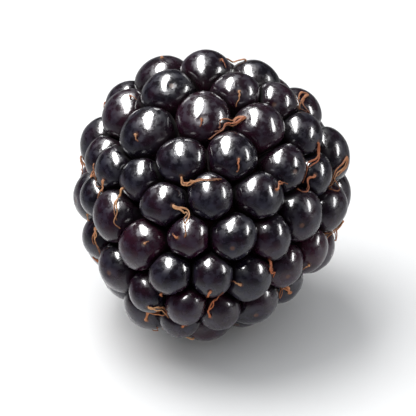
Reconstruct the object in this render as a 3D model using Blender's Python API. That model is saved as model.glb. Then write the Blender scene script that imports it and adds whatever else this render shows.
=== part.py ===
# A bramble berry as picked, lying on its side with its tip towards -Y.
# Units are metres and +Z is up. The origin is on the surface that the berry lies on, under its weight.
# Two pieces: the drupelets, grown together on their flesh, and the picked end of the receptacle.

from itertools import combinations
from math import atan2, cos, pi, radians, sin, sqrt

import bmesh
import bpy
import numpy as np
from mathutils import Matrix, Vector

# Driving dimensions of the berry, over its drupelets. Its width is across the middle of its length.
BERRY_LENGTH = 0.0224
BERRY_WIDTH = 0.0200
TIP_TAPER = 0.26
STEM_SQUARENESS = 2.5
TIP_SQUARENESS = 2.0

# Drupelets: their number, the height of a middling dome over the ovoid, and how they differ
DRUPELET_COUNT = 80
DRUPELET_HEIGHT = 0.0022
SEED = 8
SIZE_SPREAD = 0.11
MOST_SPREADS = 1.6
SMALL_DRUPELETS = 3
SMALL_SHARE = 0.72
TIP_SHARE = 0.12
OVALNESS = 0.07
STAND_OUT = 0.00022
HEIGHT_FOLLOWS_WIDTH = 0.45

# Growing room: the spiral that they start from, and how hard they push each other apart
SPIRAL_TURN = pi * (3 - sqrt(5))
SPIRAL_SHARE = 0.95
CROWDING = 0.58
SETTLING_STEPS = 260
SETTLING_PACE = 0.22
NEIGHBOURS = 6
NEIGHBOUR_SHARE = 0.6
PRESS = 1.20
PIT_REACH = 0.0031

# Facets of a dome: corners round it, its rings as angles from the top, and its root in the flesh.
# The facets are swollen a little, so that the true dome lies inside them.
DOME_CORNERS = 9
DOME_RINGS = [radians(angle) for angle in (25, 49, 82)]
FACET_SWELL = 1.02
ROOT_DEPTH = 0.0030

# Flesh under the drupelets
FLESH_INSET = 0.00035
FLESH_CORNERS = 28
FLESH_RINGS = 18

# Picked end of the receptacle: a plug whose dished face lies below the drupelets round it, and its socket
PLUG_RADIUS = 0.0029
PLUG_ROOT_RADIUS = 0.0019
PLUG_DEPTH = 0.0042
PLUG_RECESS = 0.0032
PLUG_DISH = 0.00045
PLUG_CHAMFER = 0.0008
PLUG_CORNERS = 20
SOCKET_GAP = 0.0003

# Rest: how deep the carrying drupelets are pressed flat, how far the axis may be from level,
# and how far apart the carrying drupelets may stand
FLAT_DEPTH = 0.00014
MOST_TILT = radians(15)
FARTHEST_CARRIERS = 0.0097

# Edges shorter than this are merged once the solids are joined
SHORTEST_EDGE = 0.000003
SHARP_ANGLE = radians(38)

HALF_WIDTH = BERRY_WIDTH / 2 - DRUPELET_HEIGHT
HALF_LENGTH = BERRY_LENGTH / 2 - DRUPELET_HEIGHT
TINY = 1e-9
DOWN = (0, 0, -1)


def clear_scene():
    for thing in list(bpy.data.objects):
        bpy.data.objects.remove(thing)


def plain_material(name, colour, roughness):
    material = bpy.data.materials.new(name)
    material.use_nodes = True
    shader = material.node_tree.nodes["Principled BSDF"]
    shader.inputs["Base Color"].default_value = (*colour, 1)
    shader.inputs["Roughness"].default_value = roughness
    shader.inputs["Metallic"].default_value = 0
    return material


def ovoid_level(points):
    """1 on the ovoid that the drupelets are centred on, less inside it. The tip is at -Y."""
    along = -points[:, 1] / HALF_LENGTH
    across = np.hypot(points[:, 0], points[:, 2]) / (HALF_WIDTH * (1 - TIP_TAPER * along))
    power = np.where(along < 0, STEM_SQUARENESS, TIP_SQUARENESS)
    return (np.abs(along) ** power + across**power) ** (1 / power)


def onto_ovoid(points):
    """Each point moved along the line from the middle until it is on the ovoid."""
    for _ in range(6):
        points = points / ovoid_level(points)[:, None]
    return points


def outward(points):
    """The ovoid's outward direction at each point."""
    step = 1e-6
    slope = [ovoid_level(points + step * side) - ovoid_level(points - step * side) for side in np.eye(3)]
    slope = np.stack(slope, axis=1)
    return slope / np.linalg.norm(slope, axis=1)[:, None]


def spiral_start():
    """Points in a golden-angle spiral from the tip round to the pit."""
    order = np.arange(DRUPELET_COUNT)
    along = 1 - 2 * SPIRAL_SHARE * (order + 0.5) / DRUPELET_COUNT
    across = np.sqrt(1 - along**2)
    turn = SPIRAL_TURN * order
    return onto_ovoid(np.stack([across * np.cos(turn), -along, across * np.sin(turn)], axis=1) * HALF_WIDTH)


def size_shares(draw):
    """Each drupelet's size as a share of the middling one's, with a few that never filled out."""
    spreads = np.clip(draw.standard_normal(DRUPELET_COUNT), -MOST_SPREADS, MOST_SPREADS)
    shares = 1 + SIZE_SPREAD * spreads
    shares[draw.choice(DRUPELET_COUNT, SMALL_DRUPELETS, replace=False)] = SMALL_SHARE
    return shares


def grown_drupelets(draw):
    """Centres and tangent radii of uneven drupelets that push each other and the pit apart till they fit."""
    shares = np.append(size_shares(draw), 0)
    points = np.vstack([spiral_start(), [0, HALF_LENGTH, 0]])
    area = 4 * pi * HALF_WIDTH * HALF_LENGTH - pi * PIT_REACH**2
    reach = CROWDING * sqrt(area / DRUPELET_COUNT)
    for _ in range(SETTLING_STEPS):
        wants = reach * shares * (1 + TIP_SHARE * points[:, 1] / HALF_LENGTH)
        wants[-1] = PIT_REACH
        between = points[:, None] - points[None]
        distance = np.linalg.norm(between, axis=2) + np.eye(len(points))
        push = np.clip(wants[:, None] + wants[None] - distance, 0, None) / distance
        np.fill_diagonal(push, 0)
        move = SETTLING_PACE * (between * push[:, :, None]).sum(axis=1)
        move[-1] = 0
        points = onto_ovoid(points + move)
    centres = points[:-1]
    distance = np.sort(np.linalg.norm(centres[:, None] - centres[None], axis=2), axis=1)
    found = distance[:, 1 : 1 + NEIGHBOURS].mean(axis=1) / 2
    wanted = wants[:-1] * (1 - NEIGHBOUR_SHARE)
    return centres, PRESS * (NEIGHBOUR_SHARE * found + wanted)


def make_drupelets():
    """For each drupelet: its centre, outward direction, a tangent, and its two tangent radii and height."""
    draw = np.random.default_rng(SEED)
    centres, radii = grown_drupelets(draw)
    normals = outward(centres)
    centres = centres + normals * (STAND_OUT * draw.uniform(-1, 1, len(centres)))[:, None]
    swing = draw.uniform(0, pi, len(centres))[:, None]
    oval = OVALNESS * draw.uniform(0, 1, len(centres))
    height = DRUPELET_HEIGHT * (1 + HEIGHT_FOLLOWS_WIDTH * (radii / radii.mean() - 1))
    side = np.cross(normals, np.roll(normals, 1, axis=1))
    side = side / np.linalg.norm(side, axis=1)[:, None]
    tangents = side * np.cos(swing) + np.cross(normals, side) * np.sin(swing)
    sizes = np.stack([radii * (1 + oval), radii * (1 - oval), height], axis=1)
    return centres, normals, tangents, sizes


def tangent_direction(trio, heights, weight):
    """The outward direction of the plane that touches three balls from outside, or None."""
    edges = trio[1:] - trio[0]
    across = np.cross(*edges)
    if np.linalg.norm(across) < TINY:
        return None
    level = np.linalg.solve(edges @ edges.T, heights[0] - heights[1:]) @ edges
    if level @ level >= 1:
        return None
    upright = across / np.linalg.norm(across) * sqrt(1 - level @ level)
    return level + (upright if upright @ (trio[0] - weight) > 0 else -upright)


def inside_margin(trio, down, weight):
    """How far the weight lies inside the three carrying points, seen from above."""
    middle = trio.mean(axis=0)
    margins = []
    for start, end in zip(trio, np.roll(trio, -1, axis=0)):
        inward = np.cross(down, end - start)
        inward = inward / np.linalg.norm(inward)
        inward = inward if inward @ (middle - start) > 0 else -inward
        margins.append(inward @ (weight - start))
    return min(margins)


def carrying_plane(centres, heights, weight):
    """The way down, and the surface's depth below the middle, for the three drupelets that carry best."""
    best_margin = 0
    for names in combinations(range(len(centres)), 3):
        trio = centres[list(names)]
        if np.linalg.norm(trio - np.roll(trio, 1, axis=0), axis=1).max() > FARTHEST_CARRIERS:
            continue
        down = tangent_direction(trio, heights[list(names)], weight)
        if down is None or abs(down[1]) > sin(MOST_TILT):
            continue
        depths = centres @ down + heights
        if depths.max() > depths[names[0]] + TINY:
            continue
        margin = inside_margin(trio, down, weight)
        if margin > best_margin:
            best_margin = margin
            best = down, depths.max()
    return best


def resting_place(centres, heights):
    """The move that sets the berry down on three drupelets, with its tip towards -Y."""
    weight = centres.mean(axis=0)
    down, depth = carrying_plane(centres, heights, weight)
    turn = Vector(down).rotation_difference(Vector(DOWN)).to_matrix()
    tip = turn @ Vector((0, -1, 0))
    turn = Matrix.Rotation(-pi / 2 - atan2(tip.y, tip.x), 3, "Z") @ turn
    middle = turn @ Vector(weight)
    lift = Matrix.Translation((-middle.x, -middle.y, depth - FLAT_DEPTH))
    return lift @ turn.to_4x4()


def mesh_object(name, bm, place):
    bmesh.ops.recalc_face_normals(bm, faces=bm.faces)
    mesh = bpy.data.meshes.new(name)
    bm.to_mesh(mesh)
    bm.free()
    mesh.transform(place)
    thing = bpy.data.objects.new(name, mesh)
    bpy.context.scene.collection.objects.link(thing)
    return thing


def lathe(profile, corners):
    """A closed body turned about Y from (radius, place along Y) points that start and end on the axis."""
    bm = bmesh.new()
    angles = [2 * pi * k / corners for k in range(corners)]
    rings = [[bm.verts.new((r * cos(t), y, r * sin(t))) for t in angles] for r, y in profile[1:-1]]
    for lower, upper in zip(rings, rings[1:]):
        for k in range(corners):
            bm.faces.new((lower[k - 1], lower[k], upper[k], upper[k - 1]))
    for (_, y), ring in ((profile[0], rings[0]), (profile[-1], rings[-1])):
        point = bm.verts.new((0, y, 0))
        for k in range(corners):
            bm.faces.new((ring[k - 1], ring[k], point))
    return bm


def drupelet_body(centre, normal, tangent, size, place):
    """A dome on a root that runs down into the flesh."""
    wide, deep, high = FACET_SWELL * size
    side = np.cross(normal, tangent)
    turns = [2 * pi * k / DOME_CORNERS for k in range(DOME_CORNERS)]
    spokes = [tangent * wide * cos(t) + side * deep * sin(t) for t in turns]
    bm = bmesh.new()
    top = bm.verts.new(centre + normal * high)
    root = bm.verts.new(centre - normal * ROOT_DEPTH)
    rings = []
    for angle in DOME_RINGS:
        level = centre + normal * high * cos(angle)
        rings.append([bm.verts.new(level + spoke * sin(angle)) for spoke in spokes])
    for k in range(DOME_CORNERS):
        bm.faces.new((rings[0][k - 1], rings[0][k], top))
        bm.faces.new((rings[-1][k], rings[-1][k - 1], root))
        for upper, lower in zip(rings, rings[1:]):
            bm.faces.new((upper[k], upper[k - 1], lower[k - 1], lower[k]))
    return mesh_object("drupelet", bm, place)


def flesh_body(place):
    """The ovoid of flesh that the drupelets stand on."""
    angles = [pi * k / FLESH_RINGS for k in range(FLESH_RINGS + 1)]
    points = onto_ovoid(np.array([[max(sin(t), TINY), -cos(t), 0] for t in angles]) * HALF_WIDTH)
    points = points - FLESH_INSET * outward(points)
    return mesh_object("drupelets", lathe([(x, y) for x, y, _ in points], FLESH_CORNERS), place)


def plug_face():
    """Where the plug's rim lies along Y."""
    return BERRY_LENGTH / 2 - PLUG_RECESS


def root_profile(gap):
    """The plug's sunken end, from its chamfer to the axis, widened by the gap."""
    root = plug_face() - PLUG_DEPTH - gap
    radius = PLUG_ROOT_RADIUS + gap
    return [(radius, root + PLUG_CHAMFER), (radius - PLUG_CHAMFER, root), (0, root)]


def plug_body(place):
    """The picked end: a dished face with a rounded rim, on a tapered plug."""
    face = plug_face()
    crown = [(0, face - 0.6 * PLUG_DISH), (0.35 * PLUG_RADIUS, face - PLUG_DISH)]
    rim = [(0.62 * PLUG_RADIUS, face - 0.2 * PLUG_DISH), (0.82 * PLUG_RADIUS, face)]
    edge = [(0.97 * PLUG_RADIUS, face - PLUG_CHAMFER / 2), (PLUG_RADIUS, face - 1.2 * PLUG_CHAMFER)]
    return mesh_object("receptacle", lathe(crown + rim + edge + root_profile(0), PLUG_CORNERS), place)


def socket_body(place):
    """The plug's room in the flesh, open to the outside."""
    rim = PLUG_RADIUS + SOCKET_GAP
    mouth = [(0, BERRY_LENGTH), (rim, BERRY_LENGTH), (rim, plug_face() - PLUG_CHAMFER)]
    return mesh_object("socket", lathe(mouth + root_profile(SOCKET_GAP), PLUG_CORNERS), place)


def apply_modifiers(body):
    graph = bpy.context.evaluated_depsgraph_get()
    mesh = bpy.data.meshes.new_from_object(body.evaluated_get(graph))
    body.modifiers.clear()
    body.data = mesh


def join_and_remove(body, parts):
    """One Boolean union of the body with all the parts, applied."""
    group = bpy.data.collections.new("parts to join")
    for part in parts:
        group.objects.link(part)
    union = body.modifiers.new("join", "BOOLEAN")
    union.operation = "UNION"
    union.operand_type = "COLLECTION"
    union.collection = group
    union.solver = "EXACT"
    apply_modifiers(body)
    for part in parts:
        bpy.data.objects.remove(part)
    bpy.data.collections.remove(group)


def cut_and_remove(body, cutter):
    difference = body.modifiers.new("cut", "BOOLEAN")
    difference.operation = "DIFFERENCE"
    difference.object = cutter
    difference.solver = "EXACT"
    apply_modifiers(body)
    bpy.data.objects.remove(cutter)


def connected_faces(start):
    """All the faces that are joined to one face by edges."""
    found = {start}
    waiting = [start]
    while waiting:
        for edge in waiting.pop().edges:
            fresh = [face for face in edge.link_faces if face not in found]
            found.update(fresh)
            waiting.extend(fresh)
    return found


def fill_sealed_pockets(bm):
    """Drops the small closed surfaces that are left inside where domes meet over a gap."""
    outside = connected_faces(max(bm.faces, key=lambda face: face.calc_center_median().z))
    pockets = [face for face in bm.faces if face not in outside]
    bmesh.ops.delete(bm, geom=pockets, context="FACES")


def press_flat(body):
    """Cuts the body level at the surface that it lies on, closes the cut and merges the shortest edges."""
    bm = bmesh.new()
    bm.from_mesh(body.data)
    fill_sealed_pockets(bm)
    everything = bm.verts[:] + bm.edges[:] + bm.faces[:]
    cut = bmesh.ops.bisect_plane(bm, geom=everything, plane_co=(0, 0, 0), plane_no=DOWN, clear_outer=True)
    rims = [part for part in cut["geom_cut"] if isinstance(part, bmesh.types.BMEdge)]
    bmesh.ops.holes_fill(bm, edges=rims, sides=0)
    bmesh.ops.remove_doubles(bm, verts=bm.verts, dist=SHORTEST_EDGE)
    bm.to_mesh(body.data)
    bm.free()


def finish(body, material):
    body.data.materials.clear()
    body.data.materials.append(material)
    body.data.shade_smooth()
    body.data.set_sharp_from_angle(angle=SHARP_ANGLE)


def main():
    clear_scene()
    centres, normals, tangents, sizes = make_drupelets()
    place = resting_place(centres, sizes[:, 2])
    drupelets = flesh_body(place)
    join_and_remove(drupelets, [drupelet_body(*one, place) for one in zip(centres, normals, tangents, sizes)])
    cut_and_remove(drupelets, socket_body(place))
    press_flat(drupelets)
    finish(drupelets, plain_material("drupelet skin", (0.018, 0.011, 0.020), 0.2))
    finish(plug_body(place), plain_material("receptacle flesh", (0.30, 0.10, 0.09), 0.7))


main()
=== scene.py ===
from itertools import combinations
from math import atan2, cos, pi, radians, sin, sqrt

import bpy
import numpy as np
from mathutils import Matrix, Vector


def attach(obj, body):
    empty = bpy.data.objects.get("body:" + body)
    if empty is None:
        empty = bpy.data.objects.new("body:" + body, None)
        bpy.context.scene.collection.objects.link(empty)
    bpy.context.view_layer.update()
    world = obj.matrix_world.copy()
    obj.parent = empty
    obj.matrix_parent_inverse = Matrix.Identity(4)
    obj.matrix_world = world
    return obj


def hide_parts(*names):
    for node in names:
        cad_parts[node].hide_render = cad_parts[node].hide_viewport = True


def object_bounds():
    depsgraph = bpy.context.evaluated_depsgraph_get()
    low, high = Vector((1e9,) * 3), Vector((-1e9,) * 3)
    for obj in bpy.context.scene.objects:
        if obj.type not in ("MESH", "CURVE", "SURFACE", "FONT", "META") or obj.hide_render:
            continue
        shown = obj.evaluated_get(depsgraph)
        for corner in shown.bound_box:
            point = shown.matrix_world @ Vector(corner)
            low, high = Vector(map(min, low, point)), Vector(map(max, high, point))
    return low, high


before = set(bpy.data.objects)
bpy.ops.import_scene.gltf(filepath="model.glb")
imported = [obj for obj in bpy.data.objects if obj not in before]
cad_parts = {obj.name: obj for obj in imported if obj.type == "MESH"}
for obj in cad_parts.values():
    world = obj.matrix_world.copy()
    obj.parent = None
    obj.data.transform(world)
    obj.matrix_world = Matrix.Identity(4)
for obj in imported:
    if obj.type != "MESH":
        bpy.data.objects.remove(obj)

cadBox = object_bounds()
print("frame loaded")


# the berry's growing rule, the same as in its solids (metres, tip towards -Y, middle at the origin)
berry = {
    "length": 0.0224,
    "width": 0.0200,
    "tipTaper": 0.26,
    "stemSquareness": 2.5,
    "tipSquareness": 2.0,
    "count": 80,
    "domeHeight": 0.0022,
    "seed": 8,
    "sizeSpread": 0.11,
    "mostSpreads": 1.6,
    "smallOnes": 3,
    "smallShare": 0.72,
    "tipShare": 0.12,
    "ovalness": 0.07,
    "standOut": 0.00022,
    "heightFollowsWidth": 0.45,
    "spiralShare": 0.95,
    "fittingSteps": 6,
    "crowding": 0.58,
    "settlingSteps": 260,
    "settlingPace": 0.22,
    "neighbours": 6,
    "neighbourShare": 0.6,
    "press": 1.20,
    "pitReach": 0.0031,
    "flatDepth": 0.00014,
    "mostTilt": radians(15),
    "farthestCarriers": 0.0097,
}
halfWidth = berry["width"] / 2 - berry["domeHeight"]
halfLength = berry["length"] / 2 - berry["domeHeight"]
down = (0, 0, -1)
tiny = 1e-9


def ovoidLevel(points):
    # 1 on the ovoid that the drupelets are centred on, less inside it
    along = -points[:, 1] / halfLength
    across = np.hypot(points[:, 0], points[:, 2]) / (halfWidth * (1 - berry["tipTaper"] * along))
    power = np.where(along < 0, berry["stemSquareness"], berry["tipSquareness"])
    return (np.abs(along) ** power + across**power) ** (1 / power)


def ontoOvoid(points):
    for _ in range(berry["fittingSteps"]):
        points = points / ovoidLevel(points)[:, None]
    return points


def outward(points):
    step = 1e-6
    slope = [ovoidLevel(points + step * side) - ovoidLevel(points - step * side) for side in np.eye(3)]
    slope = np.stack(slope, axis=1)
    return slope / np.linalg.norm(slope, axis=1)[:, None]


def spiralStart():
    order = np.arange(berry["count"])
    along = 1 - 2 * berry["spiralShare"] * (order + 0.5) / berry["count"]
    across = np.sqrt(1 - along**2)
    turn = pi * (3 - sqrt(5)) * order
    return ontoOvoid(np.stack([across * np.cos(turn), -along, across * np.sin(turn)], axis=1) * halfWidth)


def sizeShares(draw):
    spreads = np.clip(draw.standard_normal(berry["count"]), -berry["mostSpreads"], berry["mostSpreads"])
    shares = 1 + berry["sizeSpread"] * spreads
    shares[draw.choice(berry["count"], berry["smallOnes"], replace=False)] = berry["smallShare"]
    return shares


def grownDrupelets(draw):
    # uneven drupelets push each other and the pit apart till they fit
    shares = np.append(sizeShares(draw), 0)
    points = np.vstack([spiralStart(), [0, halfLength, 0]])
    area = 4 * pi * halfWidth * halfLength - pi * berry["pitReach"] ** 2
    reach = berry["crowding"] * sqrt(area / berry["count"])
    for _ in range(berry["settlingSteps"]):
        wants = reach * shares * (1 + berry["tipShare"] * points[:, 1] / halfLength)
        wants[-1] = berry["pitReach"]
        between = points[:, None] - points[None]
        distance = np.linalg.norm(between, axis=2) + np.eye(len(points))
        push = np.clip(wants[:, None] + wants[None] - distance, 0, None) / distance
        np.fill_diagonal(push, 0)
        move = berry["settlingPace"] * (between * push[:, :, None]).sum(axis=1)
        move[-1] = 0
        points = ontoOvoid(points + move)
    centres = points[:-1]
    distance = np.sort(np.linalg.norm(centres[:, None] - centres[None], axis=2), axis=1)
    found = distance[:, 1 : 1 + berry["neighbours"]].mean(axis=1) / 2
    wanted = wants[:-1] * (1 - berry["neighbourShare"])
    return centres, berry["press"] * (berry["neighbourShare"] * found + wanted)


def makeDrupelets():
    # centre, three axes (tangent, side, outward) and three half sizes of each drupelet
    draw = np.random.default_rng(berry["seed"])
    centres, radii = grownDrupelets(draw)
    normals = outward(centres)
    centres = centres + normals * (berry["standOut"] * draw.uniform(-1, 1, len(centres)))[:, None]
    swing = draw.uniform(0, pi, len(centres))[:, None]
    oval = berry["ovalness"] * draw.uniform(0, 1, len(centres))
    height = berry["domeHeight"] * (1 + berry["heightFollowsWidth"] * (radii / radii.mean() - 1))
    side = np.cross(normals, np.roll(normals, 1, axis=1))
    side = side / np.linalg.norm(side, axis=1)[:, None]
    tangents = side * np.cos(swing) + np.cross(normals, side) * np.sin(swing)
    axes = np.stack([tangents, np.cross(normals, tangents), normals], axis=1)
    sizes = np.stack([radii * (1 + oval), radii * (1 - oval), height], axis=1)
    return centres, axes, sizes


def tangentDirection(trio, heights, weight):
    # outward direction of the plane that touches three balls from outside
    edges = trio[1:] - trio[0]
    across = np.cross(*edges)
    if np.linalg.norm(across) < tiny:
        return None
    level = np.linalg.solve(edges @ edges.T, heights[0] - heights[1:]) @ edges
    if level @ level >= 1:
        return None
    upright = across / np.linalg.norm(across) * sqrt(1 - level @ level)
    return level + (upright if upright @ (trio[0] - weight) > 0 else -upright)


def insideMargin(trio, downward, weight):
    middle = trio.mean(axis=0)
    margins = []
    for start, end in zip(trio, np.roll(trio, -1, axis=0)):
        inward = np.cross(downward, end - start)
        inward = inward / np.linalg.norm(inward)
        inward = inward if inward @ (middle - start) > 0 else -inward
        margins.append(inward @ (weight - start))
    return min(margins)


def restingPlace(centres, heights):
    # the move that sets the berry down on the three drupelets that carry it best
    weight = centres.mean(axis=0)
    bestMargin = 0
    for names in combinations(range(len(centres)), 3):
        trio = centres[list(names)]
        if np.linalg.norm(trio - np.roll(trio, 1, axis=0), axis=1).max() > berry["farthestCarriers"]:
            continue
        downward = tangentDirection(trio, heights[list(names)], weight)
        if downward is None or abs(downward[1]) > sin(berry["mostTilt"]):
            continue
        depths = centres @ downward + heights
        if depths.max() > depths[names[0]] + tiny:
            continue
        margin = insideMargin(trio, downward, weight)
        if margin > bestMargin:
            bestMargin, best, depth = margin, downward, depths.max()
    turn = Vector(best).rotation_difference(Vector(down)).to_matrix()
    tip = turn @ Vector((0, -1, 0))
    turn = Matrix.Rotation(-pi / 2 - atan2(tip.y, tip.x), 3, "Z") @ turn
    middle = turn @ Vector(weight)
    return Matrix.Translation((-middle.x, -middle.y, depth - berry["flatDepth"])) @ turn.to_4x4()


centres, axes, sizes = makeDrupelets()
place = np.array(restingPlace(centres, sizes[:, 2]))
print("drupelets grown and laid down:", len(centres))


def placed(points):
    return points @ place[:3, :3].T + place[:3, 3]


# the lowest skin is pressed level where it meets the surface, with a soft edge
surfaceEdge = 0.00003


def pressedOnSurface(points):
    points = points.copy()
    height = points[:, 2]
    points[:, 2] = np.maximum((height + np.sqrt(height**2 + surfaceEdge**2)) / 2 - surfaceEdge / 2, 0)
    return points


def makePiece(name, points, faces, material, nodes=(), marks=None):
    mesh = bpy.data.meshes.new(name)
    mesh.from_pydata(points.tolist(), [], faces)
    for label, values in (marks or {}).items():
        kind, field = ("FLOAT", "value") if values.ndim == 1 else ("FLOAT_VECTOR", "vector")
        layer = mesh.attributes.new(label, kind, "POINT")
        layer.data.foreach_set(field, values.astype(np.float32).ravel())
    mesh.materials.append(material)
    mesh.shade_smooth()
    mesh.validate()
    piece = bpy.data.objects.new(name, mesh)
    bpy.context.scene.collection.objects.link(piece)
    if nodes:
        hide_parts(*nodes)
    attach(piece, "root")


# node helpers

def newMaterial(name):
    material = bpy.data.materials.new(name)
    material.use_nodes = True
    tree = material.node_tree
    return material, tree, tree.nodes["Principled BSDF"]


def addNode(tree, kind, settings=None, **values):
    node = tree.nodes.new(kind)
    for label, value in (settings or {}).items():
        setattr(node, label, value)
    for label, value in values.items():
        node.inputs[label].default_value = value
    return node


def addMath(tree, operation, first, second=None, clamp=False):
    node = addNode(tree, "ShaderNodeMath", {"operation": operation, "use_clamp": clamp})
    for socket, value in zip(node.inputs, (first, second)):
        if isinstance(value, (int, float)):
            socket.default_value = value
        elif value is not None:
            tree.links.new(value, socket)
    return node.outputs["Value"]


def addMix(tree, factor, first, second, blend="MIX"):
    node = addNode(tree, "ShaderNodeMix", {"data_type": "RGBA", "blend_type": blend})
    for label, value in (("Factor", factor), ("A", first), ("B", second)):
        socket = node.inputs[label]
        if isinstance(value, bpy.types.NodeSocket):
            tree.links.new(value, socket)
        elif isinstance(value, tuple):
            socket.default_value = (*value, 1)
        else:
            socket.default_value = value
    return node.outputs["Result"]


def addRange(tree, value, low, high, newLow=0.0, newHigh=1.0):
    node = addNode(tree, "ShaderNodeMapRange", {"interpolation_type": "SMOOTHSTEP"})
    tree.links.new(value, node.inputs["Value"])
    for label, number in (("From Min", low), ("From Max", high), ("To Min", newLow), ("To Max", newHigh)):
        node.inputs[label].default_value = number
    return node.outputs["Result"]


def mark(tree, label, output="Fac"):
    node = addNode(tree, "ShaderNodeAttribute", {"attribute_type": "GEOMETRY", "attribute_name": label})
    return node.outputs[output]


def addLength(tree, vector):
    node = addNode(tree, "ShaderNodeVectorMath", {"operation": "LENGTH"})
    tree.links.new(vector, node.inputs["Vector"])
    return node.outputs["Value"]


def newGroup(name, inputs, outputs):
    group = bpy.data.node_groups.new(name, "ShaderNodeTree")
    for label, value in inputs.items():
        socket = group.interface.new_socket(label, in_out="INPUT", socket_type="NodeSocketFloat")
        socket.default_value = value
    for label, kind in outputs.items():
        group.interface.new_socket(label, in_out="OUTPUT", socket_type=kind)
    return group, group.nodes.new("NodeGroupInput"), group.nodes.new("NodeGroupOutput")


def placeGroup(tree, group, **values):
    node = tree.nodes.new("ShaderNodeGroup")
    node.node_tree = group
    for label, value in values.items():
        node.inputs[label].default_value = value
    return node


# mottle: soft uneven patches, for juice, bloom with painted sheen, and ripeness
def makeMottle():
    group, given, result = newGroup(
        "mottle", {"Scale": 500, "Low": 0.4, "High": 0.6}, {"Mask": "NodeSocketFloat"})
    where = group.nodes.new("ShaderNodeTexCoord")
    noise = addNode(group, "ShaderNodeTexNoise", Detail=4, Roughness=0.55)
    stretch = addNode(group, "ShaderNodeMapRange", {"interpolation_type": "SMOOTHSTEP"})
    group.links.new(where.outputs["Object"], noise.inputs["Vector"])
    group.links.new(given.outputs["Scale"], noise.inputs["Scale"])
    group.links.new(noise.outputs["Fac"], stretch.inputs["Value"])
    group.links.new(given.outputs["Low"], stretch.inputs["From Min"])
    group.links.new(given.outputs["High"], stretch.inputs["From Max"])
    group.links.new(stretch.outputs["Result"], result.inputs["Mask"])
    return group


# grain: fine relief as a normal, from two sizes of noise
fineShare = 0.35


def makeGrain():
    group, given, result = newGroup(
        "grain", {"Coarse": 900, "Fine": 5000, "Depth": 0.00001}, {"Normal": "NodeSocketVector"})
    where = group.nodes.new("ShaderNodeTexCoord")
    coarse = addNode(group, "ShaderNodeTexNoise", Detail=2, Roughness=0.5)
    fine = addNode(group, "ShaderNodeTexNoise", Detail=2, Roughness=0.6)
    for noise, label in ((coarse, "Coarse"), (fine, "Fine")):
        group.links.new(where.outputs["Object"], noise.inputs["Vector"])
        group.links.new(given.outputs[label], noise.inputs["Scale"])
    fineHeight = addMath(group, "MULTIPLY", fine.outputs["Fac"], fineShare)
    both = addMath(group, "ADD", coarse.outputs["Fac"], fineHeight)
    bump = addNode(group, "ShaderNodeBump", Strength=1.0)
    group.links.new(given.outputs["Depth"], bump.inputs["Distance"])
    group.links.new(both, bump.inputs["Height"])
    group.links.new(bump.outputs["Normal"], result.inputs["Normal"])
    return group


mottle = makeMottle()
grain = makeGrain()
print("shader groups made")


# drupelets: full beads pressed against each other, each with a dimple where its style grew
drupelet = {
    "corners": 42,
    "rings": 27,
    "lastRing": radians(116),
    "pressing": 11,
    "leastFacing": 1e-4,
    "neighbourReach": 2.6,
    "creaseGap": 0.00003,
    "creaseDepth": 0.22,
    "underside": 0.7,
    "lumpDepth": 0.020,
    "lumpDrop": 0.6,
    "lumpWaves": 3.2,
    "lumps": 5,
    "dimpleDepth": 0.026,
    "dimpleWidth": radians(15),
    "scarDepth": 0.00004,
    "styleLean": (radians(20), radians(52)),
    "styleSwing": radians(65),
    "leastTipward": 0.05,
    "seed": 7,
    "ink": (0.0034, 0.0020, 0.0060),
    "wine": (0.026, 0.0026, 0.0105),
    # partly the real waxy bloom, partly a painted lilac-grey sheen, laid on each drupelet's top
    "bloomAndSheen": (0.042, 0.039, 0.090),
    # painted shade: a darker colour where the drupelets meet, with some of their real dark red
    "crease": (0.0060, 0.0007, 0.0018),
    "scar": (0.080, 0.030, 0.018),
    "patches": {"Scale": 420, "Low": 0.42, "High": 0.66},
    "cloud": {"Scale": 1500, "Low": 0.35, "High": 0.7},
    "relief": {"Coarse": 1300, "Fine": 5200, "Depth": 0.000028},
    # ranges: from, to, and what they become
    "wineRange": (0.45, 1.0),
    "bloomAndSheenRange": (0.1, 0.95, 0, 0.28),
    "creaseShadeRange": (0.05, 0.7),
    "scarRange": (0.15, 0.48, 1, 0),
    "scarDip": (0, 0.9),
    "coatRange": (0.1, 0.8, 0.55, 0.1),
    "roughness": (0.21, 0.40),
    "matt": 0.2,
    "ior": 1.36,
    "coatRoughness": 0.04,
    "coatIor": 1.42,
}


def ellipsoidReach(directions, i):
    local = directions @ axes[i].T / sizes[i]
    return 1 / np.linalg.norm(local, axis=1)


def neighbourPlanes(i):
    # for each near neighbour: the way to it, and how far the shared face lies from this centre
    between = centres - centres[i]
    distance = np.linalg.norm(between, axis=1)
    planes = []
    near = (distance > 0) & (distance < drupelet["neighbourReach"] * sizes[:, 0].max())
    for j in np.flatnonzero(near):
        way = between[j] / distance[j]
        mine = ellipsoidReach(way[None], i)[0]
        theirs = ellipsoidReach(-way[None], j)[0]
        face = (distance[j] ** 2 + mine**2 - theirs**2) / (2 * distance[j])
        planes.append((way, face - drupelet["creaseGap"] / 2))
    return planes


def pressedReach(directions, i):
    # how far the skin is from the centre, and how far the neighbours push it back (0 to 1)
    free = ellipsoidReach(directions, i)
    total = free ** -drupelet["pressing"]
    for way, face in neighbourPlanes(i):
        towards = np.clip(directions @ way, drupelet["leastFacing"], None)
        total = total + (face / towards) ** -drupelet["pressing"]
    reach = total ** (-1 / drupelet["pressing"])
    return reach, np.clip((1 - reach / free) / drupelet["creaseDepth"], 0, 1)


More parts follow.
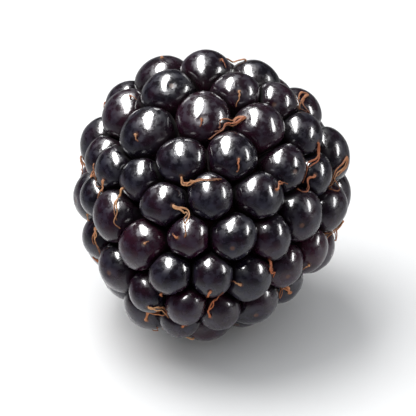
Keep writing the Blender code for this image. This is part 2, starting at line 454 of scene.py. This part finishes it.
def styleRoots(draw):
    # where each drupelet's style grew: a little off its top, mostly on the side towards the tip
    lean = draw.uniform(*drupelet["styleLean"], len(centres))
    swing = draw.normal(0, drupelet["styleSwing"], len(centres))
    normals = axes[:, 2]
    tipward = np.array([0, -1, 0]) - normals * (-normals[:, 1])[:, None]
    tipward = tipward / np.maximum(np.linalg.norm(tipward, axis=1), drupelet["leastTipward"])[:, None]
    sideways = np.cross(normals, tipward)
    trail = tipward * np.cos(swing)[:, None] + sideways * np.sin(swing)[:, None]
    roots = normals * np.cos(lean)[:, None] + trail * np.sin(lean)[:, None]
    return roots / np.linalg.norm(roots, axis=1)[:, None], trail


def buildDrupelets(material, roots, draw):
    angles = np.linspace(0, drupelet["lastRing"], drupelet["rings"] + 1)[1:]
    turns = np.linspace(0, 2 * pi, drupelet["corners"], endpoint=False)
    ringAngles, ringTurns = np.meshgrid(angles, turns, indexing="ij")
    across = np.sin(ringAngles)
    local = np.stack([across * np.cos(ringTurns), across * np.sin(ringTurns), np.cos(ringAngles)], axis=-1)
    local = np.vstack([[0, 0, 1], local.reshape(-1, 3), [0, 0, -1]])
    points, faces = [], []
    marks = {"tint": [], "crease": [], "crown": [], "fromRoot": []}
    corners, ringCount = drupelet["corners"], drupelet["rings"]
    for i in range(len(centres)):
        directions = local @ axes[i]
        reach, crease = pressedReach(directions, i)
        waves = draw.normal(0, drupelet["lumpWaves"], (drupelet["lumps"], 3))
        phases = draw.uniform(0, 2 * pi, drupelet["lumps"])
        lumps = np.sin(directions @ waves.T + phases).mean(axis=1)
        fromRoot = (directions - roots[i]) / drupelet["dimpleWidth"]
        dimple = np.exp(-(fromRoot**2).sum(axis=1))
        lift = drupelet["lumpDepth"] * (lumps - drupelet["lumpDrop"])
        reach = reach * (1 + lift - drupelet["dimpleDepth"] * dimple)
        reach[-1] = drupelet["underside"] * sizes[i, 2]
        first = len(points) * len(local)
        points.append(centres[i] + directions * reach[:, None])
        marks["tint"].append(np.full(len(local), draw.uniform(0, 1)))
        marks["crease"].append(crease)
        marks["crown"].append(local[:, 2])
        marks["fromRoot"].append(fromRoot)
        ring = [[first + 1 + r * corners + k for k in range(corners)] for r in range(ringCount)]
        for k in range(corners):
            after = (k + 1) % corners
            faces.append((first, ring[0][k], ring[0][after]))
            faces.append((first + len(local) - 1, ring[-1][after], ring[-1][k]))
            for upper, lower in zip(ring, ring[1:]):
                faces.append((upper[k], lower[k], lower[after], upper[after]))
    points = pressedOnSurface(placed(np.vstack(points)))
    marks = {label: np.concatenate(values) for label, values in marks.items()}
    makePiece("pressedDrupelets", points, faces, material, ["drupelets"], marks)


def skinMaterial():
    material, tree, shader = newMaterial("drupeletSkin")
    patches = placeGroup(tree, mottle, **drupelet["patches"])
    cloud = placeGroup(tree, mottle, **drupelet["cloud"])
    relief = placeGroup(tree, grain, **drupelet["relief"])
    tint = addRange(tree, mark(tree, "tint"), *drupelet["wineRange"])
    redness = addMath(tree, "MULTIPLY", addMath(tree, "ADD", tint, patches.outputs["Mask"]), 0.5)
    colour = addMix(tree, redness, drupelet["ink"], drupelet["wine"])
    # a lilac-grey haze in patches on each drupelet's top: partly real bloom, partly painted sheen
    bloomAndSheen = addRange(tree, mark(tree, "crown"), *drupelet["bloomAndSheenRange"])
    bloomAndSheen = addMath(tree, "MULTIPLY", bloomAndSheen, cloud.outputs["Mask"])
    colour = addMix(tree, bloomAndSheen, colour, drupelet["bloomAndSheen"])
    # painted shade: the colour darkens into the creases between the drupelets, with some real dark red
    creaseShade = addRange(tree, mark(tree, "crease"), *drupelet["creaseShadeRange"])
    colour = addMix(tree, creaseShade, colour, drupelet["crease"])
    fromRoot = addLength(tree, mark(tree, "fromRoot", "Vector"))
    scar = addRange(tree, fromRoot, *drupelet["scarRange"])
    colour = addMix(tree, scar, colour, drupelet["scar"])
    tree.links.new(colour, shader.inputs["Base Color"])
    matt = addMath(tree, "MULTIPLY", addMath(tree, "ADD", creaseShade, scar), drupelet["matt"])
    rough = addRange(tree, cloud.outputs["Mask"], 0, 1, *drupelet["roughness"])
    tree.links.new(addMath(tree, "ADD", rough, matt), shader.inputs["Roughness"])
    coat = addRange(tree, mark(tree, "crease"), *drupelet["coatRange"])
    tree.links.new(coat, shader.inputs["Coat Weight"])
    dent = addNode(tree, "ShaderNodeBump", Strength=1.0, Distance=drupelet["scarDepth"])
    tree.links.new(addRange(tree, fromRoot, *drupelet["scarDip"]), dent.inputs["Height"])
    tree.links.new(relief.outputs["Normal"], dent.inputs["Normal"])
    tree.links.new(dent.outputs["Normal"], shader.inputs["Normal"])
    shader.inputs["IOR"].default_value = drupelet["ior"]
    shader.inputs["Coat Roughness"].default_value = drupelet["coatRoughness"]
    shader.inputs["Coat IOR"].default_value = drupelet["coatIor"]
    return material


draw = np.random.default_rng(drupelet["seed"])
roots, trails = styleRoots(draw)
buildDrupelets(skinMaterial(), roots, draw)
print("drupelets pressed together")


# flesh: what shows between the drupelets and round the pit, dark and wet with juice
flesh = {
    "inset": 0.00035,
    "corners": 96,
    "rings": 70,
    "lip": 0.0033,
    "lipStep": 0.0004,
    "wall": 0.0032,
    "wallSteps": 26,
    "foot": 0.0022,
    "footHeight": 0.0008,
    "wrinkle": 0.00006,
    "wrinkleWaves": 5200,
    "wrinkleShift": 1.7,
    "dark": (0.006, 0.0009, 0.002),
    "juice": (0.022, 0.0018, 0.005),
    "patches": {"Scale": 900, "Low": 0.4, "High": 0.65},
    "relief": {"Coarse": 2200, "Fine": 9000, "Depth": 0.00004},
    "roughness": (0.75, 0.55),
    "ior": 1.12,
}
plug = {
    "radius": 0.0029,
    "rootRadius": 0.0019,
    "depth": 0.0042,
    "recess": 0.0032,
    "dish": 0.00045,
    "chamfer": 0.0008,
    "gap": 0.0003,
    # its face from the middle out: shares of the radius, the dish and the chamfer
    "faceLine": [(0, 0.6, 0), (0.35, 1, 0), (0.62, 0.2, 0), (0.82, 0, 0), (0.97, 0, 0.5), (1, 0, 1.2)],
    "corners": 180,
    "rings": 120,
    "bundles": 14,
    "bundleRing": 0.60,
    "bundleHeight": 0.00030,
    "bundleRadius": 0.00017,
    "bundleShift": 0.22,
    "bundleUneven": (0.92, 1.08),
    "bundleProud": (0.6, 1),
    "fibres": 46,
    "fibreDepth": 0.00006,
    "fibreSway": 3,
    "fibreBends": 5,
    "fibreGrowth": 1.4,
    "torn": 0.00020,
    "tears": 7,
    "tearWaves": 3300,
    "ringDip": 0.4,
    "ringWidth": 0.16,
    "juiceInTears": 1.2,
    "seed": 5,
    "pith": (0.60, 0.37, 0.22),
    "stain": (0.17, 0.010, 0.028),
    "bundle": (0.80, 0.62, 0.40),
    "patches": {"Scale": 1300, "Low": 0.36, "High": 0.62},
    "relief": {"Coarse": 3200, "Fine": 12000, "Depth": 0.00006},
    "stainedRim": (0.30, 0.95),
    "roughness": (0.42, 0.7),
}
plugFace = berry["length"] / 2 - plug["recess"]


def turned(profile, corners):
    # rings about Y from (radius, place along Y); the profile starts and ends on the axis
    turns = np.linspace(0, 2 * pi, corners, endpoint=False)
    middle = profile[1:-1]
    rings = np.stack([np.outer(middle[:, 0], np.cos(turns)), np.repeat(middle[:, 1:], corners, axis=1),
                      np.outer(middle[:, 0], np.sin(turns))], axis=-1).reshape(-1, 3)
    points = np.vstack([rings, [0, profile[0, 1], 0], [0, profile[-1, 1], 0]])
    start, end = len(rings), len(rings) + 1
    faces = []
    for k in range(corners):
        after = (k + 1) % corners
        faces.append((start, k, after))
        faces.append((end, len(rings) - corners + after, len(rings) - corners + k))
        for ring in range(len(middle) - 1):
            base = ring * corners
            faces.append((base + after, base + k, base + corners + k, base + corners + after))
    return points, faces


def smoothLine(points, count):
    # even steps along a line of points
    points = np.array(points)
    lengths = np.append(0, np.cumsum(np.linalg.norm(np.diff(points, axis=0), axis=1)))
    steps = np.linspace(0, lengths[-1], count)
    return np.stack([np.interp(steps, lengths, points[:, k]) for k in range(points.shape[1])], axis=1)


def buildFlesh(material):
    angles = np.linspace(0, pi, flesh["rings"] + 1)
    outline = np.stack([np.maximum(np.sin(angles), tiny), -np.cos(angles), 0 * angles], axis=1)
    outline = ontoOvoid(outline * halfWidth)
    outline = (outline - flesh["inset"] * outward(outline))[:, :2]
    outside = outline[(outline[:, 1] < 0) | (outline[:, 0] > flesh["lip"])]
    lipHeight = outside[-1, 1]
    root = plugFace - plug["depth"] - plug["gap"]
    inside = [(flesh["wall"], lipHeight - flesh["lipStep"]), (flesh["wall"], plugFace - plug["chamfer"]),
              (flesh["foot"], root + flesh["footHeight"]), (flesh["foot"] - plug["chamfer"], root),
              (0, root)]
    outside[0, 0] = 0
    profile = np.vstack([outside, smoothLine([outside[-1]] + inside, flesh["wallSteps"])[1:]])
    points, faces = turned(profile, flesh["corners"])
    wrinkles = np.sin(points * flesh["wrinkleWaves"] + flesh["wrinkleShift"]).prod(axis=1)
    points = points + flesh["wrinkle"] * wrinkles[:, None]
    points = pressedOnSurface(placed(points))
    makePiece("flesh", points, faces, material, ["drupelets"])


def fleshMaterial():
    material, tree, shader = newMaterial("juicyFlesh")
    patches = placeGroup(tree, mottle, **flesh["patches"])
    relief = placeGroup(tree, grain, **flesh["relief"])
    colour = addMix(tree, patches.outputs["Mask"], flesh["dark"], flesh["juice"])
    rough = addRange(tree, patches.outputs["Mask"], 0, 1, *flesh["roughness"])
    tree.links.new(colour, shader.inputs["Base Color"])
    tree.links.new(rough, shader.inputs["Roughness"])
    tree.links.new(relief.outputs["Normal"], shader.inputs["Normal"])
    shader.inputs["IOR"].default_value = flesh["ior"]
    return material


buildFlesh(fleshMaterial())
print("flesh made")


# receptacle end: torn pith with a ring of bundles, stained by juice at its rim
def buildPlug(material):
    radius, face = plug["radius"], plugFace
    outline = [(out * radius, face - dish * plug["dish"] - edge * plug["chamfer"])
               for out, dish, edge in plug["faceLine"]]
    outline += [(plug["rootRadius"], face - plug["depth"] + plug["chamfer"]),
                (plug["rootRadius"] - plug["chamfer"], face - plug["depth"]), (0, face - plug["depth"])]
    profile = smoothLine(outline, plug["rings"])
    points, faces = turned(profile[::-1], plug["corners"])
    around = np.arctan2(points[:, 2], points[:, 0])
    across = np.hypot(points[:, 0], points[:, 2]) / radius
    top = np.clip((points[:, 1] - (face - plug["chamfer"])) / plug["chamfer"], 0, 1)
    draw = np.random.default_rng(plug["seed"])
    bundle = np.zeros(len(points))
    for k in range(plug["bundles"]):
        turn = 2 * pi * (k + draw.uniform(-plug["bundleShift"], plug["bundleShift"])) / plug["bundles"]
        spot = plug["bundleRing"] * draw.uniform(*plug["bundleUneven"])
        away = np.hypot(points[:, 0] - spot * radius * cos(turn), points[:, 2] - spot * radius * sin(turn))
        dot = np.exp(-(away / plug["bundleRadius"]) ** 2) * draw.uniform(*plug["bundleProud"])
        bundle = np.maximum(bundle, dot)
    bundle = bundle * top
    sway = plug["fibreSway"] * np.sin(plug["fibreBends"] * across + around)
    fibre = np.sin(plug["fibres"] * around + sway) * np.clip(across * plug["fibreGrowth"], 0, 1)
    waves = draw.normal(0, plug["tearWaves"], (plug["tears"], 3))
    torn = np.sin(points @ waves.T + draw.uniform(0, 2 * pi, plug["tears"])).mean(axis=1)
    torn = torn - plug["ringDip"] * np.exp(-((across - plug["bundleRing"]) / plug["ringWidth"]) ** 2)
    lift = plug["bundleHeight"] * bundle + plug["fibreDepth"] * fibre + plug["torn"] * torn * top
    push = np.stack([np.cos(around), 0 * around, np.sin(around)], axis=1) * (1 - top)[:, None]
    push[:, 1] = top
    points = points + push * lift[:, None]
    deep = np.clip(0.5 - plug["juiceInTears"] * torn, 0, 1)
    marks = {"bundle": bundle, "across": across, "deep": deep}
    points = placed(points)
    makePiece("receptacleEnd", points, faces, material, ["receptacle"], marks)


def plugMaterial():
    material, tree, shader = newMaterial("stainedPith")
    patches = placeGroup(tree, mottle, **plug["patches"])
    relief = placeGroup(tree, grain, **plug["relief"])
    rim = addRange(tree, mark(tree, "across"), *plug["stainedRim"])
    juice = addMath(tree, "MULTIPLY", addMath(tree, "ADD", patches.outputs["Mask"], mark(tree, "deep")), 0.5)
    juice = addMath(tree, "ADD", rim, juice, clamp=True)
    colour = addMix(tree, juice, plug["pith"], plug["stain"])
    colour = addMix(tree, mark(tree, "bundle"), colour, plug["bundle"])
    rough = addRange(tree, patches.outputs["Mask"], 0, 1, *plug["roughness"])
    tree.links.new(colour, shader.inputs["Base Color"])
    tree.links.new(rough, shader.inputs["Roughness"])
    tree.links.new(relief.outputs["Normal"], shader.inputs["Normal"])
    return material


buildPlug(plugMaterial())
print("receptacle end made")


# styles: dry threads that trail from the dimples over the skin and into the creases
style = {
    "share": 0.85,
    "longShare": 0.48,
    "long": (0.0014, 0.0036),
    "short": (0.0003, 0.0009),
    "steps": 30,
    "leastSteps": 4,
    "rootRadius": 0.000095,
    "tipRadius": 0.000040,
    "stoutness": (0.8, 1.25),
    "knots": 0.15,
    "knotWaves": 17,
    "knotShift": 6,
    "stigma": 1.7,
    "stigmaAt": 0.97,
    "stigmaLength": 0.035,
    "pointLength": 0.6,
    "flatness": 0.65,
    "corners": 8,
    "swerve": 0.35,
    "wander": 0.10,
    "bendKept": 0.8,
    "creasePull": 0.30,
    "feel": 0.00035,
    "crumple": 0.000065,
    "crumples": 4,
    "crumpleWaves": (5, 20),
    "crumpleFrom": 6,
    "fullyCrumpled": 0.0015,
    "mostTurn": 1.3,
    "strands": (2, 5),
    "strandReach": (0.6, 0.95),
    "spread": 0.00014,
    "parting": 5,
    "sunk": 0.00013,
    "tautness": (0.25, 0.7),
    "softening": (0.1, 0.24, 0.32, 0.24, 0.1),
    "lift": 0.00003,
    "rise": 0.00008,
    "riseUneven": (0.3, 1.6),
    "boxGap": 0.00005,
    "seed": 31,
    "straw": (0.58, 0.31, 0.15),
    "rust": (0.45, 0.14, 0.062),
    "dry": (0.13, 0.040, 0.018),
    "tintSpread": 0.12,
    "patches": {"Scale": 2600, "Low": 0.35, "High": 0.7},
    "relief": {"Coarse": 9000, "Fine": 26000, "Depth": 0.00003},
    "dryRange": (0.45, 1.0),
    "dryTip": 0.75,
    "dryPatches": 0.35,
    "roughness": (0.6, 0.85),
    "ior": 1.2,
}


def skinHeight(directions):
    # how far the outermost skin is from the berry's middle, along each direction
    best = np.zeros(len(directions))
    for i in range(len(centres)):
        way = directions @ axes[i].T / sizes[i]
        middle = axes[i] @ centres[i] / sizes[i]
        a = (way**2).sum(axis=1)
        b = way @ middle
        inside = b**2 - a * (middle @ middle - 1)
        best = np.maximum(best, np.where(inside > 0, (b + np.sqrt(np.maximum(inside, 0))) / a, 0))
    return best


def softened(values):
    padded = np.concatenate([[values[0]] * 2, values, [values[-1]] * 2])
    return np.convolve(padded, style["softening"], mode="valid")


def styleRoute(i, length, draw):
    # directions from the berry's middle, from the style's root down into the creases
    root = centres[i] + roots[i] * pressedReach(roots[i][None], i)[0][0]
    far = np.linalg.norm(root)
    way = trails[i] + style["swerve"] * draw.normal(0, 1, 3)
    direction = root / far
    pace = length / style["steps"] / far
    bend, turned = draw.normal(0, style["wander"]), 0
    route = []
    for _ in range(style["steps"] + 1):
        route.append(direction)
        way = way - direction * (way @ direction)
        way = way / np.linalg.norm(way)
        bend = style["bendKept"] * bend + draw.normal(0, style["wander"] / 2)
        side = np.cross(direction, way)
        feel = side * style["feel"] / far
        left, right = skinHeight(np.array([direction + feel, direction - feel]))
        pull = style["creasePull"] * np.clip((right - left) / style["feel"], -1, 1)
        change = bend + pull if abs(turned + bend + pull) < style["mostTurn"] else 0
        turned += change
        way = way + side * change
        direction = direction + way / np.linalg.norm(way) * pace
        direction = direction / np.linalg.norm(direction)
    return np.array(route), far


def bridged(heights):
    # the heights of a thread pulled tight over the same points
    count = len(heights)
    spot = np.arange(count)
    best = heights.copy()
    for start in range(count - 2):
        for end in range(start + 2, count):
            between = spot[start + 1 : end]
            level = heights[start] + (heights[end] - heights[start]) * (between - start) / (end - start)
            best[start + 1 : end] = np.maximum(best[start + 1 : end], level)
    return best


def strandPath(route, far, length, spread, draw):
    # one crumpled strand beside the route, lying on the skin
    along = np.linspace(0, 1, len(route))
    ways = np.gradient(route, axis=0)
    sides = np.cross(route, ways / np.linalg.norm(ways, axis=1)[:, None])
    waves = draw.uniform(*style["crumpleWaves"], style["crumples"])
    crumple = np.sin(np.outer(along, waves) + draw.uniform(0, 2 * pi, len(waves)))
    crumple = (crumple / np.sqrt(waves / style["crumpleFrom"])).sum(axis=1)
    offset = style["crumple"] * crumple * min(length / style["fullyCrumpled"], 1) + spread
    directions = route + sides * (offset * np.clip(along * style["parting"], 0, 1) / far)[:, None]
    directions = directions / np.linalg.norm(directions, axis=1)[:, None]
    under = skinHeight(directions) + style["lift"]
    height = under + draw.uniform(*style["tautness"]) * (bridged(under) - under)
    height = np.maximum(softened(softened(height)), under)
    height = height + style["rise"] * np.sin(pi * along) * draw.uniform(*style["riseUneven"])
    height[0] = far - style["sunk"]
    return directions * height[:, None], directions, along


def threadTube(path, ups, radii):
    ways = np.gradient(path, axis=0)
    ways = ways / np.linalg.norm(ways, axis=1)[:, None]
    sides = np.cross(ways, ups)
    sides = sides / np.linalg.norm(sides, axis=1)[:, None]
    ups = np.cross(sides, ways)
    turns = np.linspace(0, 2 * pi, style["corners"], endpoint=False)[None, :, None]
    rounds = sides[:, None] * np.cos(turns) + style["flatness"] * ups[:, None] * np.sin(turns)
    rings = path[:, None] + radii[:, None, None] * rounds
    point = path[-1] + ways[-1] * radii[-1] * style["pointLength"]
    points = np.vstack([rings.reshape(-1, 3), path[0], point])
    corners, count = style["corners"], len(path)
    faces = []
    for k in range(corners):
        after = (k + 1) % corners
        faces.append((count * corners, k, after))
        faces.append((count * corners + 1, (count - 1) * corners + after, (count - 1) * corners + k))
        for ring in range(count - 1):
            base = ring * corners
            faces.append((base + k, base + corners + k, base + corners + after, base + after))
    return points, faces


def buildStyles(material):
    draw = np.random.default_rng(style["seed"])
    low, high = np.array(cadBox[0]) + style["boxGap"], np.array(cadBox[1]) - style["boxGap"]
    points, faces, marks, total = [], [], {"along": [], "tint": []}, 0
    for i in range(len(centres)):
        hasStyle, isLong = draw.uniform(0, 1, 2) < (style["share"], style["longShare"])
        length = draw.uniform(*style["long"]) if isLong else draw.uniform(*style["short"])
        route, far = styleRoute(i, length, draw)
        tint = draw.uniform(0, 1)
        for k in range(draw.integers(*style["strands"]) if isLong else 1):
            reach = 1 if k == 0 else draw.uniform(*style["strandReach"])
            steps = max(int(reach * len(route)), style["leastSteps"])
            spread = k * draw.normal(0, style["spread"])
            path, ups, along = strandPath(route[:steps], far, length, spread, draw)
            radii = style["rootRadius"] + (style["tipRadius"] - style["rootRadius"]) * np.sqrt(along)
            radii = radii * draw.uniform(*style["stoutness"])
            knots = np.sin(along * style["knotWaves"] + draw.uniform(0, style["knotShift"]))
            radii = radii * (1 + style["knots"] * knots)
            swelling = np.exp(-((along - style["stigmaAt"]) / style["stigmaLength"]) ** 2)
            radii = radii * (1 + (style["stigma"] - 1) * swelling)
            tube, sides = threadTube(path, ups, radii)
            tube = placed(tube)
            if not hasStyle or (tube < low).any() or (tube > high).any():
                continue
            points.append(tube)
            faces.extend(tuple(total + n for n in side) for side in sides)
            marks["along"].append(np.concatenate([np.repeat(along, style["corners"]), [0, 1]]))
            strandTint = np.clip(tint + draw.normal(0, style["tintSpread"]), 0, 1)
            marks["tint"].append(np.full(len(tube), strandTint))
            total += len(tube)
    print("style strands:", len(points))
    marks = {label: np.concatenate(values) for label, values in marks.items()}
    makePiece("dryStyles", np.vstack(points), faces, material, (), marks)


def styleMaterial():
    material, tree, shader = newMaterial("dryStyle")
    patches = placeGroup(tree, mottle, **style["patches"])
    relief = placeGroup(tree, grain, **style["relief"])
    colour = addMix(tree, mark(tree, "tint"), style["straw"], style["rust"])
    dryTip = addRange(tree, mark(tree, "along"), *style["dryRange"])
    dryTip = addMath(tree, "MULTIPLY", dryTip, style["dryTip"])
    dryPatches = addMath(tree, "MULTIPLY", patches.outputs["Mask"], style["dryPatches"])
    colour = addMix(tree, addMath(tree, "ADD", dryTip, dryPatches, clamp=True), colour, style["dry"])
    rough = addRange(tree, patches.outputs["Mask"], 0, 1, *style["roughness"])
    tree.links.new(colour, shader.inputs["Base Color"])
    tree.links.new(rough, shader.inputs["Roughness"])
    tree.links.new(relief.outputs["Normal"], shader.inputs["Normal"])
    shader.inputs["IOR"].default_value = style["ior"]
    return material


buildStyles(styleMaterial())


# studio: a pale table, a large soft light above on the left, and two that only the gloss shows
studio = {
    "tableSize": 1.6,
    "tableRoughness": 0.6,
    "table": (0.80, 0.80, 0.80),
    # the table's colour in the skin's gloss, near the berry and far off, where it is darkened as painted
    # shade
    "reflectedNear": (0.80, 0.80, 0.81),
    "shadedFarReflection": (0.10, 0.10, 0.11),
    "fade": (0.006, 0.045),
    # painted light: an emission that brightens the table's far end as the camera sees it
    "horizonGlow": (0.447, 0.449, 0.455),
    "glowReach": (0.10, 0.60),
    "air": (0.96, 0.98, 1.0),
    "backdrop": 0.95,
    "fill": 0.74,
    "reflectedAir": 0.06,
    "lookAt": (0.0, 0.0003, 0.0092),
    "azimuth": 12,
    "elevation": 31,
    "distance": 0.30,
    "lens": 345,
}
softLights = {
    "key": {"azimuth": -105, "elevation": 56, "roll": 0, "distance": 0.34, "size": (0.28, 0.28),
            "radiance": 3.8, "shine": False},
    "keyShine": {"azimuth": -112, "elevation": 74, "roll": 109, "distance": 0.33, "size": (0.15, 0.50),
                 "radiance": 68, "spread": False},
    "sideShine": {"azimuth": 86, "elevation": 24, "roll": -48, "distance": 0.40, "size": (0.08, 0.28),
                  "radiance": 36, "spread": False},
}


def aimedFrom(azimuth, elevation, distance, target):
    # azimuth 0 looks along +Y and turns towards +X
    side, up = radians(azimuth), radians(elevation)
    offset = Vector((sin(side) * cos(up), -cos(side) * cos(up), sin(up))) * distance
    spot = Vector(target) + offset
    return Matrix.Translation(spot) @ offset.to_track_quat("Z", "Y").to_matrix().to_4x4()


def buildTable():
    half = studio["tableSize"] / 2
    mesh = bpy.data.meshes.new("table")
    corners = [(-half, -half, 0), (half, -half, 0), (half, half, 0), (-half, half, 0)]
    mesh.from_pydata(corners, [], [(0, 1, 2, 3)])
    material, tree, shader = newMaterial("whiteTable")
    # painted shade: in the skin's gloss its colour darkens away from the berry, as a table in a dark room
    # does
    where = addLength(tree, tree.nodes.new("ShaderNodeTexCoord").outputs["Object"])
    away = addRange(tree, where, *studio["fade"])
    reflected = addMix(tree, away, studio["reflectedNear"], studio["shadedFarReflection"])
    ray = tree.nodes.new("ShaderNodeLightPath").outputs
    colour = addMix(tree, ray["Is Glossy Ray"], studio["table"], reflected)
    tree.links.new(colour, shader.inputs["Base Color"])
    # painted light: as the camera sees it, the far end of the table glows up to the backdrop's brightness,
    # so that low views show no horizon
    far = addMath(tree, "MULTIPLY", addRange(tree, where, *studio["glowReach"]), ray["Is Camera Ray"])
    glow = addMix(tree, far, (0, 0, 0), studio["horizonGlow"])
    tree.links.new(glow, shader.inputs["Emission Color"])
    shader.inputs["Emission Strength"].default_value = 1
    shader.inputs["Roughness"].default_value = studio["tableRoughness"]
    mesh.materials.append(material)
    table = bpy.data.objects.new("table", mesh)
    bpy.context.scene.collection.objects.link(table)


def buildLights():
    for name, look in softLights.items():
        lamp = bpy.data.lights.new(name, "AREA")
        lamp.shape = "ELLIPSE"
        lamp.size, lamp.size_y = look["size"]
        lamp.energy = look["radiance"] * pi * lamp.size * lamp.size_y * pi / 4
        holder = bpy.data.objects.new(name, lamp)
        holder.visible_diffuse = look.get("spread", True)
        holder.visible_glossy = look.get("shine", True)
        holder.matrix_world = aimedFrom(
            look["azimuth"] + studio["azimuth"], look["elevation"], look["distance"], studio["lookAt"])
        holder.matrix_world = holder.matrix_world @ Matrix.Rotation(radians(look["roll"]), 4, "Z")
        bpy.context.scene.collection.objects.link(holder)
    world = bpy.data.worlds.new("studioAir")
    world.use_nodes = True
    tree, air = world.node_tree, world.node_tree.nodes["Background"]
    air.inputs["Color"].default_value = (*studio["air"], 1)
    # white where it is seen, a soft fill on the table, and nearly dark in the skin's gloss
    ray = tree.nodes.new("ShaderNodeLightPath").outputs
    inGloss = addMath(tree, "MULTIPLY", ray["Is Glossy Ray"], studio["reflectedAir"] - studio["fill"])
    seen = addMath(tree, "MULTIPLY", ray["Is Camera Ray"], studio["backdrop"] - studio["fill"])
    strength = addMath(tree, "ADD", addMath(tree, "ADD", inGloss, studio["fill"]), seen)
    tree.links.new(strength, air.inputs["Strength"])
    bpy.context.scene.world = world
    bpy.context.scene.view_settings.view_transform = "Standard"


def buildCamera():
    camera = bpy.data.cameras.new("camera")
    camera.lens = studio["lens"]
    camera.clip_start = 0.01
    holder = bpy.data.objects.new("camera", camera)
    holder.matrix_world = aimedFrom(
        studio["azimuth"], studio["elevation"], studio["distance"], studio["lookAt"])
    bpy.context.scene.collection.objects.link(holder)
    bpy.context.scene.camera = holder


buildTable()
buildLights()
buildCamera()
print("studio set up")
